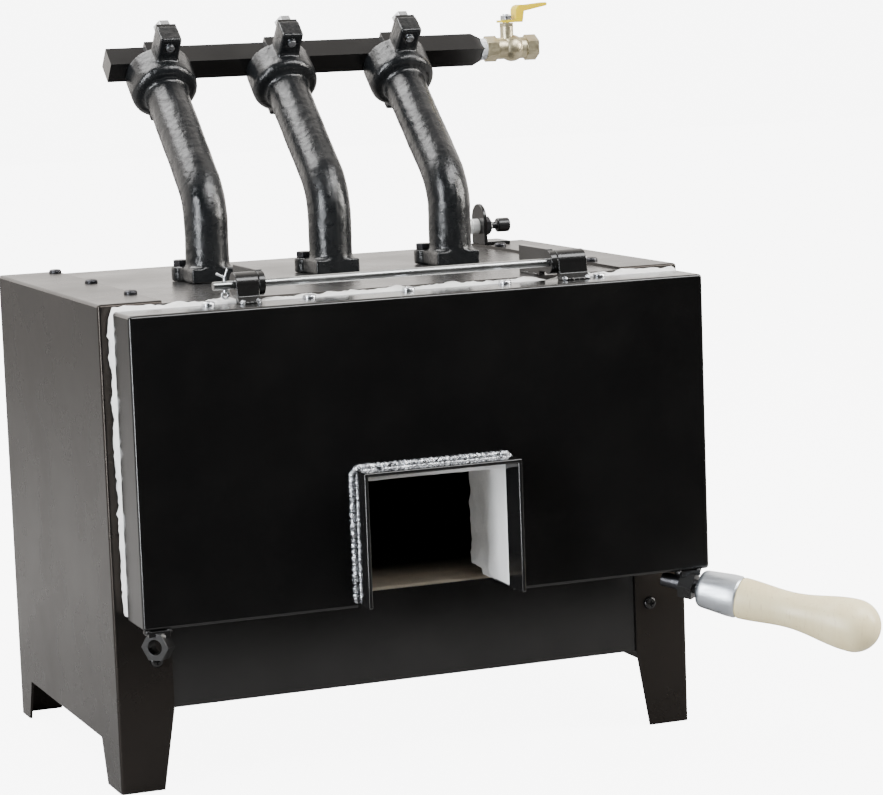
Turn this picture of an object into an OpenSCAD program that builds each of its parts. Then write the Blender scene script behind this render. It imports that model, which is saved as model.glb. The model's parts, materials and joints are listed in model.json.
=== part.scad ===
// Three-burner gas forge with a lift-up front door.
// Millimetres, +Z up, the door faces -Y. The origin is on the floor at the middle of the overall
// footprint, handle included. Inside the modules x = 0 is the middle of the body and y = 0 its front.

/* [Body] */
// Width of the sheet-metal body
body_w = 460; // [450:5:480]
// Depth of the body from front flange to rear flange
body_d = 300; // [290:5:330]
// Height from the floor to the top flanges
body_h = 360; // [350:5:380]
// Thickness of the sheet metal
sheet_t = 2; // [1.5:0.1:2.2]
// Gap under each side panel, between its feet
side_gap_h = 33; // [20:1:50]
// Gap under the lower front panel
front_gap_h = 60; // [50:1:75]
// Height of the firebox floor above the ground
floor_h = 132; // [128:1:140]
// Thickness of the firebrick floor
brick_t = 34; // [25:1:38]
// Thickness of the fibre lining
lining_t = 50; // [30:1:52]

/* [Door] */
// Gap from the body front to the rear edge of the door pan
door_gap = 17; // [12:1:20]
// Depth of the door pan
pan_d = 40; // [34:1:48]
// Height of the door pan
pan_h = 225; // [215:1:228]
// Width of the work opening in the door
opening_w = 117; // [90:1:140]
// Height of the work opening above the bottom of the door
opening_h = 99; // [80:1:120]
// How far the collar stands out from the door
collar_out = 24; // [15:1:35]
// Outward reach of the wooden handle from its nut
handle_len = 152; // [130:1:170]
// Downward slope of the handle, in degrees
handle_droop = 11; // [0:1:15]

/* [Burners] */
// Distance from one burner to the next
burner_pitch = 101; // [90:1:110]
// Distance of the burner feet behind the body front
burner_y = 140; // [125:1:160]
// Outside diameter of the burner tubes
tube_d = 34; // [30:1:36]
// Outside diameter of the burner bells
bell_d = 54; // [53:1:60]
// Height of the bend in the burner tubes, above the top plate
bend_up = 64; // [55:1:80]
// Rearward tilt of the upper tubes from the vertical, in degrees
tilt = 49; // [40:1:55]
// Side of the square manifold bar
bar_side = 19; // [16:0.5:22]

/* [Hidden] */

$fn = 64;
eps = 0.01;

black_paint = [0.05, 0.05, 0.055];
cast_black = [0.09, 0.1, 0.1];
fibre_white = [0.93, 0.93, 0.9];
zinc = [0.72, 0.74, 0.76];
brass = [0.72, 0.62, 0.38];

// Body
flange_w = 43;               // front and rear flanges of the side panels
foot_w = 33;                 // width of a foot seen from the front
top_flange_w = 48;
leg_d_front = 50;            // depth of the front leg where the side gap ends
leg_d_rear = 38;
leg_taper = 12;              // how much a leg narrows in depth towards the floor
plate_z = body_h - sheet_t;  // upper face of the top plate
pan_z = floor_h - brick_t;   // upper face of the bottom pan
side_in = body_w/2 - sheet_t;
lining_top = plate_z - sheet_t;
skirt_d = 20;                // rearward lip of the lower front panel
front_lip_h = 22;            // downward lip of the top plate

// Screws
screw_r = 2.4;
screw_clear = 0.1;
screw_head_r = 5;
screw_head_h = 3;
screw_len = 10;
recess = [5, 1.1, 1.8];      // each slot of the cross: length, width and depth
top_screw_x = side_in + sheet_t - 43;
left_screw_y = [64, body_d/2 + 24, body_d - 16];
right_screw_y = [64, body_d/2 + 24, body_d - 52];   // the last one stands clear of the igniter
screw_relief = 0.5;          // room round a screw's shank in the lining
front_screw = [body_w/2 - 31, 97];
rear_screw_z = [90, body_h - 60];

// Hinge
rod_r = 3.2;
rod_clear = 0.06;
pivot_y = -16;
pivot_z = body_h + 9;
lobe_r = 9;
ear_t = 5;
ear_back = 38;
ear_top = 10;                // height of the ear above the rod's axis
left_strap = [-133, -116];   // left and right sides of the left strap
right_strap = [120, 143];
ear_gap = 0.5;
rod_left = left_strap[0] - 15;
rod_right = right_strap[1] + 2;
pin_x = rod_left + 9;

// Door
pan_front = -door_gap - pan_d;
pan_top = body_h - 4;
pan_bottom = pan_top - pan_h;
pan_w = body_w - 13;
collar_t = 3;
collar_lift = 3;             // the collar ends this far above the bottom of the door
plug_out = 18;               // how far the lining reaches into the firebox
plug_side = 20;              // room left beside the plug
lining_gap = 1;
fibre_thin = 8;              // fibre lip left below the top of the work opening
door_screw_pitch = 77;

// Handle and its nuts
nut_af = 19;
nut_t = 11;
nut_r = nut_af/2/cos(30);
stud_r = 5.5;                // seven-sixteenths thread
thread_clear = 0.05;
nut_z = pan_bottom - nut_af/2 - 2;
nut_y = -54;
handle_nut_x = pan_w/2 - 17;
spare_nut_x = -pan_w/2 + 11;
handle_swing = 45;           // outward angle of the handle from straight ahead
butt_r = 20;
stud_back = 21;
ferrule_start = 9;
ferrule_end = 42;
ferrule_r = 16.2;
waist_r = 13.6;
waist_at = 0.42;             // place of the waist along the grip, from 0 to 1

// Burners
burner_mid = -2;
tube_r = tube_d/2;
bore_r = tube_r - 5;
bell_r = bell_d/2;
bend_h = plate_z + bend_up;
bend_r = 45;
bend_cut = bend_r*tan(tilt/2);
bell_start = 119;
bell_end = 147;
boss = [36, 34, 12];
lug_x = 15;                  // burner bolts, measured from the tube
lug_y = 21;
lug_r = 8;
bolt_r = 3.4;
clip_n = 39;                 // clip bolts, measured from the bell's axis
clip_lug = [18, 130, 48];    // width of the lug, its front along the bell's axis, its height off that axis
toe = [15, 118, 5];          // width of the toe under the bell, its front, and how far it stands out
nozzle_z = lining_top - lining_t + 6;
burner_x = [for (i = [-1:1]) burner_mid + i*burner_pitch];

// Manifold and valve
bar_s = bell_end + bar_side/2;
bar_y = burner_y + bar_s*sin(tilt);
bar_z = bend_h + bar_s*cos(tilt);
bar_left = -143;
bar_right = 180;
bar_chamfer = 9;
gas_bore_r = 4;
jet_r = 4;
clip_t = 3;
clip_w = 16;
clip_bolt_r = 3.2;
nipple_r = 6.8;              // quarter-inch pipe thread
nipple_gap = 3;              // visible length of the nipple
valve_len = 46;
valve_x0 = bar_right + nipple_gap;
valve_hex_af = 18.6;
valve_hex_r = valve_hex_af/2/cos(30);
valve_hex_len = 10;
stem_x = valve_x0 + 20.5;
stem_r = 3;
stem_clear = 0.06;
ball_r = 6.8;
seat_t = 1.6;
neck_r = 5.6;
gland_z = bar_z + 18;
lever_z = gland_z + 3.3;     // under the eye of the lever
lever_t = 2;
lever_reach = 35;
lever_w = 12;
thread_len = 11;

// Igniter
spark_x = 184;
spark_y = body_d - 15;
spark_z = body_h + 15;
spark_plate = [3, 28];
button_travel = 5;

// Overall footprint, from the left side panel to the butt of the handle, and from the butt to the rear screws
butt_centre = handle_len - butt_r;
right_end = handle_nut_x + butt_centre*cos(handle_droop)*sin(handle_swing) + butt_r;
front_end = nut_y - butt_centre*cos(handle_droop)*cos(handle_swing) - butt_r;
mid_x = (right_end - body_w/2)/2;
mid_y = (front_end + body_d + screw_head_h)/2;

// ---- frames of reference ----

module placed() translate([-mid_x, -mid_y, 0]) children();

// +Z along the upper tube of the burner at x, from the corner of its bend; -Y is the side that faces up
module up_the_bell(x) translate([x, burner_y, bend_h]) rotate([-tilt, 0, 0]) children();

// +Z out along the handle, from the middle of its nut
module along_handle()
    translate([handle_nut_x, nut_y, nut_z]) rotate([0, 90 + handle_droop, -handle_swing]) children();

// +Z out of the spare nut, the mirror image of the handle's direction but level
module along_spare() translate([spare_nut_x, nut_y, nut_z]) rotate([0, -90, handle_swing]) children();

// +Z along +X, starting at x on the manifold's axis, turned with the bar
module along_bar(x) translate([x, bar_y, bar_z]) rotate([-tilt, 0, 0]) rotate([0, 90, 0]) children();

// +Z along +X at the height of the igniter
module along_igniter(x) translate([x, spark_y, spark_z]) rotate([0, 90, 0]) children();

// +Z along +X on the axis of the door's hinge
module along_pivot(x) translate([x, pivot_y, pivot_z]) rotate([0, 90, 0]) children();

// ---- shared shapes ----

// Points of an arc about [r, z], from angle a to angle b
function arc(r, z, rad, a, b, n = 8) =
    [for (i = [0:n]) [r + rad*cos(a + (b - a)*i/n), z + rad*sin(a + (b - a)*i/n)]];

module plate_hole(r = screw_r + screw_clear) cylinder(r = r, h = 4*sheet_t + 2, center = true);

// Pan-head screw with a cross recess, its head above z = 0 and its shank below
module pan_screw(shank = screw_len) difference() {
    union() {
        rotate_extrude()
            polygon(concat([[0, 0], [screw_head_r, 0]],
                           arc(screw_head_r - 2, screw_head_h - 2, 2, 0, 90), [[0, screw_head_h]]));
        translate([0, 0, -shank]) cylinder(r = screw_r, h = shank + eps);
    }
    for (a = [0, 90]) rotate(a)
        translate([-recess[0]/2, -recess[1]/2, screw_head_h - recess[2]]) cube(recess);
}

// Hexagon-head bolt with its head above z = 0 and its shank below
module hex_bolt(r, head_af, head_h, shank) {
    cylinder(r = head_af/2/cos(30), h = head_h, $fn = 6);
    translate([0, 0, -shank]) cylinder(r = r, h = shank + eps);
}

module at_top_screws(s)
    for (y = s < 0 ? left_screw_y : right_screw_y) translate([s*top_screw_x, y, body_h]) children();

// ---- body ----

module side_panel(s) {
    difference() {
        union() {
            translate([s > 0 ? side_in : -side_in - sheet_t, 0, 0]) rotate([90, 0, 90])
                linear_extrude(sheet_t) polygon([
                    [0, 0], [leg_d_front - leg_taper, 0], [leg_d_front, side_gap_h],
                    [body_d - leg_d_rear, side_gap_h], [body_d - leg_d_rear + leg_taper, 0],
                    [body_d, 0], [body_d, body_h], [0, body_h]]);
            for (y = [sheet_t, body_d]) translate([0, y, 0]) rotate([90, 0, 0])
                linear_extrude(sheet_t) polygon([
                    [s*body_w/2, 0], [s*(body_w/2 - foot_w), 0], [s*(body_w/2 - flange_w), front_gap_h],
                    [s*(body_w/2 - flange_w), body_h], [s*body_w/2, body_h]]);
            translate([s > 0 ? body_w/2 - top_flange_w : -body_w/2, 0, plate_z])
                cube([top_flange_w, body_d, sheet_t]);
        }
        at_top_screws(s) plate_hole();
        translate([s*front_screw[0], 0, front_screw[1]]) rotate([90, 0, 0]) plate_hole();
        for (z = rear_screw_z) translate([s*front_screw[0], body_d, z]) rotate([90, 0, 0]) plate_hole();
    }
}

module left_side_panel() color(black_paint) placed() side_panel(-1);

module right_side_panel() color(black_paint) placed() side_panel(1);

module lower_front_panel() color(black_paint) placed() difference() {
    union() {
        translate([-side_in, sheet_t, front_gap_h]) cube([2*side_in, sheet_t, floor_h - 2 - front_gap_h]);
        translate([-side_in, sheet_t, pan_z - 2*sheet_t]) cube([2*side_in, skirt_d, sheet_t]);
    }
    for (s = [-1, 1]) translate([s*front_screw[0], sheet_t, front_screw[1]]) rotate([90, 0, 0]) plate_hole();
}

module rear_panel() color(black_paint) placed() difference() {
    translate([-side_in, body_d - 2*sheet_t, front_gap_h])
        cube([2*side_in, sheet_t, lining_top - front_gap_h]);
    for (s = [-1, 1], z = rear_screw_z)
        translate([s*front_screw[0], body_d - sheet_t, z]) rotate([90, 0, 0]) plate_hole();
}

module bottom_pan() color(black_paint) placed()
    translate([-side_in, 2*sheet_t, pan_z - sheet_t]) cube([2*side_in, body_d - 4*sheet_t, sheet_t]);

module top_plate() color(black_paint) placed() difference() {
    union() {
        translate([-side_in, sheet_t, lining_top]) cube([2*side_in, body_d - 2*sheet_t, sheet_t]);
        translate([-body_w/2 + flange_w + 0.5, 0, plate_z - front_lip_h])
            cube([body_w - 2*flange_w - 1, sheet_t, front_lip_h]);
    }
    for (s = [-1, 1]) at_top_screws(s) plate_hole();
    for (x = burner_x) {
        translate([x, burner_y, plate_z]) plate_hole(tube_r - 0.5);
        for (s = [-1, 1])
            translate([x + s*lug_x, burner_y + lug_y, plate_z]) plate_hole(bolt_r + screw_clear);
    }
}

module top_screws() color(zinc) placed() for (s = [-1, 1]) at_top_screws(s) pan_screw();

module front_screws() color(black_paint) placed()
    for (s = [-1, 1])
        translate([s*front_screw[0], 0, front_screw[1]]) rotate([90, 0, 0]) pan_screw(2*sheet_t);

module rear_screws() color(black_paint) placed()
    for (s = [-1, 1], z = rear_screw_z)
        translate([s*front_screw[0], body_d, z]) rotate([-90, 0, 0]) pan_screw(2*sheet_t);

// ---- lining ----

lining_y1 = body_d - 2*sheet_t;

module side_lining(s) difference() {
    translate([s > 0 ? side_in - lining_t : -side_in, 2*sheet_t, pan_z])
        cube([lining_t, lining_y1 - 2*sheet_t, lining_top - lining_t - pan_z]);
    for (z = rear_screw_z) translate([s*front_screw[0], body_d, z]) rotate([90, 0, 0])
        cylinder(r = screw_r + screw_relief, h = screw_len);
}

module left_lining() color(fibre_white) placed() side_lining(-1);

module right_lining() color(fibre_white) placed() side_lining(1);

module rear_lining() color(fibre_white) placed()
    translate([-side_in + lining_t, lining_y1 - lining_t, pan_z])
        cube([2*(side_in - lining_t), lining_t, lining_top - lining_t - pan_z]);

module roof_lining() color(fibre_white) placed() difference() {
    translate([-side_in, 2*sheet_t, lining_top - lining_t])
        cube([2*side_in, lining_y1 - 2*sheet_t, lining_t]);
    for (x = burner_x) {
        translate([x, burner_y, lining_top - lining_t - 1]) cylinder(r = tube_r, h = lining_t + 2);
        for (s = [-1, 1]) translate([x + s*lug_x, burner_y + lug_y, lining_top - screw_len])
            cylinder(r = bolt_r + screw_relief, h = screw_len + 1);
    }
    for (s = [-1, 1]) at_top_screws(s) translate([0, 0, -screw_len - 4])
        cylinder(r = screw_r + screw_relief, h = screw_len + 4);
}

module floor_brick() color([0.62, 0.5, 0.36]) placed()
    translate([-side_in + lining_t, 2*sheet_t, pan_z])
        cube([2*(side_in - lining_t), lining_y1 - lining_t - 2*sheet_t, brick_t]);

// ---- burners ----

// The foot of a burner: a square boss with a bolt lug at each rear corner
module burner_foot() {
    translate([-boss[0]/2, -boss[1]/2, 0]) cube(boss);
    for (s = [-1, 1]) {
        translate([s*lug_x, lug_y, 0]) cylinder(r = lug_r, h = boss[2]);
        linear_extrude(boss[2]) polygon([
            [0, 0], [s*(lug_x + 4), lug_y - lug_r + 1], [s*lug_x, lug_y + lug_r], [0, lug_y + lug_r]]);
    }
}

// The bent pipe of radius r: a vertical stretch from z0, the bend, and a tilted stretch that ends at s1.
// The bend is a hair thicker, and the straight stretches end just inside it
module bent_pipe(r, z0, s1) {
    translate([0, burner_y, z0]) cylinder(r = r, h = bend_h - bend_cut - z0 + 1);
    translate([0, burner_y + bend_r, bend_h - bend_cut]) rotate([90, 0, -90])
        rotate_extrude(angle = tilt) translate([bend_r, 0]) circle(r = r + 0.05);
    up_the_bell(0) translate([0, 0, bend_cut - 1]) cylinder(r = r, h = s1 - bend_cut + 1);
}

module bell_shape() rotate_extrude()
    polygon(concat([[bore_r, bell_start - 12], [tube_r, bell_start - 12]],
                   arc(tube_r + 3, bell_start - 3, 3, 180, 90, 6),
                   arc(bell_r - 6, bell_start + 6, 6, -90, 0, 8),
                   [[bell_r, bell_end], [bore_r, bell_end]]));

module burner(x) translate([x, 0, 0]) difference() {
    union() {
        translate([0, burner_y, plate_z]) burner_foot();
        translate([0, burner_y, nozzle_z]) cylinder(r = tube_r - 1.5, h = plate_z - nozzle_z + 1);
        bent_pipe(tube_r, plate_z, bell_start);
        up_the_bell(0) {
            bell_shape();
            translate([-clip_lug[0]/2, -clip_lug[2], clip_lug[1]])
                cube([clip_lug[0], clip_lug[2] - bell_r + 4, bell_end - clip_lug[1]]);
            translate([-toe[0]/2, bell_r - 3, toe[1] + toe[2]])
                cube([toe[0], toe[2] + 3, bell_end - toe[1] - 2*toe[2]]);
        }
    }
    bent_pipe(bore_r, nozzle_z - 1, bell_start + 6);
    up_the_bell(0) {
        translate([0, 0, bell_start + 5]) cylinder(r = bell_r - 5, h = bell_end - bell_start);
        translate([0, -clip_n, clip_lug[1] - 1])
            cylinder(r = clip_bolt_r + screw_clear, h = bell_end - clip_lug[1] + 2);
    }
    for (s = [-1, 1]) translate([s*lug_x, burner_y + lug_y, plate_z - 1])
        cylinder(r = bolt_r + screw_clear, h = boss[2] + 2);
}

module burner_1() color(cast_black) placed() burner(burner_x[0]);

module burner_2() color(cast_black) placed() burner(burner_x[1]);

module burner_3() color(cast_black) placed() burner(burner_x[2]);

module burner_bolts() color(black_paint) placed()
    for (x = burner_x, s = [-1, 1]) translate([x + s*lug_x, burner_y + lug_y, plate_z + boss[2]])
        hex_bolt(bolt_r, 11, 4.5, boss[2] + 2*sheet_t + 5);

// ---- gas manifold ----

module manifold_bar() color(black_paint) placed() difference() {
    union() {
        along_bar(bar_left) translate([-bar_side/2, -bar_side/2, 0])
            cube([bar_side, bar_side, bar_right - bar_left - bar_chamfer]);
        along_bar(bar_right - bar_chamfer) hull() {
            translate([-bar_side/2, -bar_side/2, -eps]) cube([bar_side, bar_side, eps]);
            translate([-bar_side/3, -bar_side/3, bar_chamfer - 0.1]) cube([bar_side*2/3, bar_side*2/3, 0.1]);
        }
    }
    along_bar(bar_left + 8) cylinder(r = gas_bore_r - 1, h = bar_right - bar_left);
    along_bar(bar_right - thread_len) cylinder(r = gas_bore_r + 0.5, h = thread_len + 1);
    for (x = burner_x) up_the_bell(x) translate([0, 0, bell_end - 1]) cylinder(r = jet_r - 1, h = bar_side/2);
}

module gas_jets() color(brass) placed() for (x = burner_x) up_the_bell(x) difference() {
    union() {
        translate([0, 0, bell_end - 1]) cylinder(r = jet_r - 1.05, h = 5);
        translate([0, 0, bell_end - 9]) cylinder(r = jet_r/cos(30), h = 9, $fn = 6);
        translate([0, 0, bell_end - 13]) cylinder(r1 = 1.6, r2 = jet_r - 0.6, h = 4 + eps);
    }
    translate([0, 0, bell_end - 14]) cylinder(r = 0.7, h = 20);
}

// Hook-shaped clip: it lies on the lug behind the bell and folds over the top, rear and bottom of the bar
module manifold_clips() color(black_paint) placed() for (x = burner_x) up_the_bell(x) difference() {
    rotate([90, 0, 90]) translate([0, 0, -clip_w/2]) linear_extrude(clip_w) polygon([
        [-clip_lug[2] + 1, bell_end], [-clip_lug[2] + 1, bell_end + clip_t],
        [-bar_side/2 - clip_t, bell_end + clip_t], [-bar_side/2 - clip_t, bell_end + bar_side + clip_t],
        [bar_side/2 + clip_t, bell_end + bar_side + clip_t], [bar_side/2 + clip_t, bell_end + bar_side/2],
        [bar_side/2, bell_end + bar_side/2], [bar_side/2, bell_end + bar_side],
        [-bar_side/2, bell_end + bar_side], [-bar_side/2, bell_end]]);
    translate([0, -clip_n, bell_end - 1]) cylinder(r = clip_bolt_r + screw_clear, h = clip_t + 2);
}

module clip_bolts() color(zinc) placed() for (x = burner_x)
    up_the_bell(x) translate([0, -clip_n, bell_end + clip_t]) hex_bolt(clip_bolt_r, 13, 6.5, 21);

module inlet_nipple() color("white") placed() difference() {
    union() {
        along_bar(bar_right) cylinder(r = nipple_r - 0.2, h = nipple_gap);
        along_bar(bar_right - thread_len) cylinder(r = gas_bore_r + 0.5, h = thread_len + eps);
        along_bar(valve_x0 - eps) cylinder(r = nipple_r, h = thread_len - 1);
    }
    along_bar(bar_right - thread_len - 1) cylinder(r = gas_bore_r - 1, h = 2*thread_len + nipple_gap + 2);
}

// ---- gas valve ----

// +Z along +X at x, upright
module along_valve(x) translate([x, bar_y, bar_z]) rotate([0, 90, 0]) children();

module valve_body() color(brass) placed() difference() {
    union() {
        for (x = [valve_x0, valve_x0 + valve_len - valve_hex_len])
            along_valve(x) cylinder(r = valve_hex_r, h = valve_hex_len, $fn = 6);
        along_valve(valve_x0 + valve_hex_len - 0.1)
            cylinder(r = valve_hex_af/2 - 0.3, h = valve_len - 2*valve_hex_len + 0.2);
        along_valve(stem_x + 4) rotate_extrude()
            polygon(concat([[0, -9]], arc(0, 0, valve_hex_r + 0.4, -55, 55, 12), [[0, 9]]));
        translate([stem_x, bar_y, bar_z]) cylinder(r = neck_r, h = gland_z - bar_z);
    }
    along_valve(valve_x0 - 1) cylinder(r = nipple_r + 0.05, h = thread_len);
    along_valve(valve_x0 - 1) cylinder(r = ball_r - 2.5, h = valve_len + 2);
    along_valve(valve_x0 + valve_len - thread_len) cylinder(r = nipple_r + 0.05, h = thread_len + 1);
    translate([stem_x, bar_y, bar_z]) sphere(r = ball_r + 0.3);
    along_valve(stem_x - ball_r) cylinder(r = ball_r - 1.5, h = 2*ball_r);
    translate([stem_x, bar_y, bar_z]) cylinder(r = stem_r + stem_clear, h = 30);
}

// Ring seats either side of the ball
module valve_seats() color("white") placed() for (s = [-1, 1]) difference() {
    along_valve(stem_x + (s < 0 ? -ball_r : ball_r - seat_t)) cylinder(r = ball_r - 1.52, h = seat_t);
    along_valve(stem_x - 15) cylinder(r = ball_r - 2.5, h = 30);
    translate([stem_x, bar_y, bar_z]) sphere(r = ball_r + 0.3);
}

module valve_ball() color(zinc) placed() difference() {
    union() {
        translate([stem_x, bar_y, bar_z]) sphere(r = ball_r);
        translate([stem_x, bar_y, bar_z]) cylinder(r = stem_r, h = lever_z - bar_z + 7);
    }
    along_valve(stem_x - 10) cylinder(r = ball_r - 3, h = 20);
}

module valve_gland_nut() color(brass) placed() translate([stem_x, bar_y, gland_z]) difference() {
    cylinder(r = neck_r + 0.6, h = 3, $fn = 6);
    translate([0, 0, -1]) cylinder(r = stem_r + stem_clear, h = 6);
}

// Pressed lever: a flat eye on the stem, a web that rises beside the nut, and a blade that slopes up outwards
module valve_lever() color([0.93, 0.78, 0.2]) placed() translate([stem_x, bar_y, lever_z]) difference() {
    union() {
        translate([-6.5, -lever_w/2, 0]) cube([15, lever_w, lever_t]);
        translate([0, lever_w/2, 0]) rotate([90, 0, 0]) linear_extrude(lever_w) polygon(concat(
            [[6.3, 0], [12.5, 0], [14, 9], [lever_reach - 1.5, 12.8]],
            arc(lever_reach - 1.5, 14.3, 1.5, -80, 80, 6), [[16, 14.2]], arc(11.5, 9.5, 5, 70, 170, 4)));
    }
    translate([0, 0, -1]) cylinder(r = stem_r, h = 20);
}

module lever_nut() color(zinc) placed() translate([stem_x, bar_y, lever_z + lever_t]) difference() {
    cylinder(r = 4.6/cos(30), h = 4, $fn = 6);
    translate([0, 0, -1]) cylinder(r = stem_r, h = 6);
}

// ---- igniter ----

module igniter_bracket() color(black_paint) placed() difference() {
    union() {
        translate([spark_x - spark_plate[0]/2, spark_y - spark_plate[1]/2, body_h])
            cube([spark_plate[0], spark_plate[1], spark_z - body_h + 5]);
        along_igniter(spark_x - spark_plate[0]/2) translate([-5, 0, 0])
            cylinder(r = spark_plate[1]/2, h = spark_plate[0]);
        translate([spark_x, spark_y - spark_plate[1]/2, body_h]) cube([22, spark_plate[1], 2.5]);
    }
    along_igniter(spark_x - 5) cylinder(r = 5.1, h = 10);
}

module igniter_body() color([0.92, 0.92, 0.9]) placed() difference() {
    union() {
        along_igniter(spark_x - 30) cylinder(r = 5, h = 40);
        along_igniter(spark_x - 8) cylinder(r = 6.5, h = 6.5);
    }
    along_igniter(spark_x - 6) cylinder(r = 3.2, h = 20);
}

module igniter_nut() color([0.3, 0.31, 0.32]) placed() difference() {
    along_igniter(spark_x + spark_plate[0]/2) cylinder(r = 8, h = 7, $fn = 6);
    along_igniter(spark_x) cylinder(r = 5.1, h = 12);
}

module igniter_button() color(black_paint) placed() {
    along_igniter(spark_x + 10 + button_travel + 0.5) cylinder(r = 6, h = 11);
    along_igniter(spark_x) cylinder(r = 3, h = 16);
}

// ---- hinge ----

// The ear stands on the top plate beside its strap, and its long top edge is the stop of the open door
module hinge_ear(x) difference() {
    union() {
        along_pivot(x) cylinder(r = lobe_r, h = ear_t);
        translate([x, pivot_y, pivot_z]) cube([ear_t, ear_back - pivot_y, ear_top]);
        translate([x, 0, plate_z]) cube([ear_t, ear_back, pivot_z - plate_z + 1]);
        translate([x, pivot_y, pivot_z - lobe_r + 1.5]) cube([ear_t, -pivot_y + 1, lobe_r]);
    }
    along_pivot(x - 1) cylinder(r = rod_r + rod_clear, h = ear_t + 2);
}

module hinge_ear_left() color(black_paint) placed() hinge_ear(left_strap[1] + ear_gap);

module hinge_ear_right() color(black_paint) placed() hinge_ear(right_strap[0] - ear_gap - ear_t);

// The rod has a peened head at its right end and a hole for the cotter pin at its left end
module hinge_rod() color(zinc) placed() difference() {
    union() {
        along_pivot(rod_left) cylinder(r = rod_r, h = rod_right - rod_left);
        along_pivot(rod_right - 1.5) cylinder(r = rod_r + 1.5, h = 1.5);
    }
    translate([pin_x, pivot_y, pivot_z]) cylinder(r = 1.3, h = 20, center = true);
}

module cotter_pin() color(zinc) placed() translate([pin_x, pivot_y, pivot_z]) {
    translate([0, 0, -5]) cylinder(r = 1.2, h = 11, $fn = 16);
    translate([0, 0, -7]) rotate([90, 0, 0]) rotate_extrude($fn = 24)
        translate([2.4, 0]) circle(r = 0.8, $fn = 16);
    for (a = [-60, 20]) translate([0, 0, 5.5]) rotate([0, a, 0]) cylinder(r = 0.8, h = 7, $fn = 16);
}

// A strap rises from the top wall of the door and curls over the rod, between the two x values of side
module hinge_strap(side) translate([side[0], 0, 0]) difference() {
    union() {
        along_pivot(0) cylinder(r = lobe_r, h = side[1] - side[0]);
        rotate([90, 0, 90]) linear_extrude(side[1] - side[0]) polygon([
            [pivot_y - lobe_r, pivot_z], [pivot_y - lobe_r - 1.5, pan_top + 5],
            [pivot_y - lobe_r - 7, pan_top], [pivot_y - lobe_r + 3, pan_top],
            [pivot_y - lobe_r + 6, pivot_z - 5]]);
    }
    along_pivot(-1) cylinder(r = rod_r + rod_clear, h = side[1] - side[0] + 2);
}

module hinge_strap_left() color(black_paint) placed() hinge_strap(left_strap);

module hinge_strap_right() color(black_paint) placed() hinge_strap(right_strap);

// ---- door ----

module at_door_screws()
    for (i = [-2:2]) translate([i*door_screw_pitch, pan_front + pan_d - 5, pan_top]) children();

module door_pan() color(black_paint) placed() difference() {
    translate([-pan_w/2, pan_front, pan_bottom]) cube([pan_w, pan_d, pan_h]);
    translate([-pan_w/2 + sheet_t, pan_front + sheet_t, pan_bottom + sheet_t])
        cube([pan_w - 2*sheet_t, pan_d, pan_h - 2*sheet_t]);
    translate([-opening_w/2 - collar_t, pan_front - 1, pan_bottom - 1])
        cube([opening_w + 2*collar_t, pan_d + 2, opening_h + collar_t + 1]);
    at_door_screws() plate_hole();
}

// Flat bar bent round the work opening
module door_collar() color(black_paint) placed()
    translate([0, pan_front - collar_out, pan_bottom]) difference() {
        translate([-opening_w/2 - collar_t, 0, collar_lift])
            cube([opening_w + 2*collar_t, collar_out + sheet_t, opening_h + collar_t - collar_lift]);
        translate([-opening_w/2, -1, -1]) cube([opening_w, collar_out + sheet_t + 2, opening_h + 1]);
    }

module door_lining() color(fibre_white) placed() difference() {
    union() {
        translate([-pan_w/2 + sheet_t, pan_front + sheet_t, pan_bottom + sheet_t])
            cube([pan_w - 2*sheet_t, -pan_front - sheet_t - lining_gap, pan_h - 2*sheet_t]);
        translate([-side_in + lining_t + plug_side, -lining_gap - eps, floor_h + 8])
            cube([2*(side_in - lining_t - plug_side), plug_out + lining_gap,
                  lining_top - lining_t - floor_h - 18]);
    }
    translate([-opening_w/2 - eps, pan_front, pan_bottom - 1])
        cube([opening_w + 2*eps, -pan_front + plug_out + 1, opening_h - fibre_thin + 1]);
    translate([-opening_w/2 - collar_t, pan_front, pan_bottom - 1])
        cube([opening_w + 2*collar_t, 2*sheet_t, opening_h + collar_t + 1]);
    at_door_screws() translate([0, 0, -12]) cylinder(r = screw_r + screw_relief, h = 12);
}

module door_screws() color(zinc) placed() at_door_screws() pan_screw(8);

// ---- handle ----

module threaded_nut() difference() {
    translate([0, 0, -nut_t/2]) cylinder(r = nut_r, h = nut_t, $fn = 6);
    translate([0, 0, -nut_t]) cylinder(r = stud_r + thread_clear, h = 2*nut_t);
}

// Radius of the grip from the ferrule, t = 0, over the waist to the butt, t = 1
function grip_r(t) = t < waist_at
    ? waist_r + (ferrule_r - 0.4 - waist_r)*(1 + cos(180*t/waist_at))/2
    : waist_r + (butt_r - waist_r)*(1 - cos(180*(t - waist_at)/(1 - waist_at)))/2;

// Tab that carries a nut under the bottom wall of the door
module nut_tab(x) translate([x - 8, nut_y - 5, nut_z + nut_af/2 - 2])
    cube([16, 12, pan_bottom - nut_z - nut_af/2 + 2]);

module spare_nut() color(black_paint) placed() difference() {
    union() {
        along_spare() rotate(30) threaded_nut();
        nut_tab(spare_nut_x);
    }
    along_spare() cylinder(r = stud_r + thread_clear, h = 60, center = true);
}

module handle_nut() color(black_paint) placed() difference() {
    union() {
        along_handle() rotate(30) threaded_nut();
        nut_tab(handle_nut_x);
    }
    along_handle() cylinder(r = stud_r + thread_clear, h = 60, center = true);
}

module handle_stud() color([0.3, 0.3, 0.3]) placed() along_handle()
    translate([0, 0, -stud_back]) cylinder(r = stud_r, h = stud_back + 50);

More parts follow.
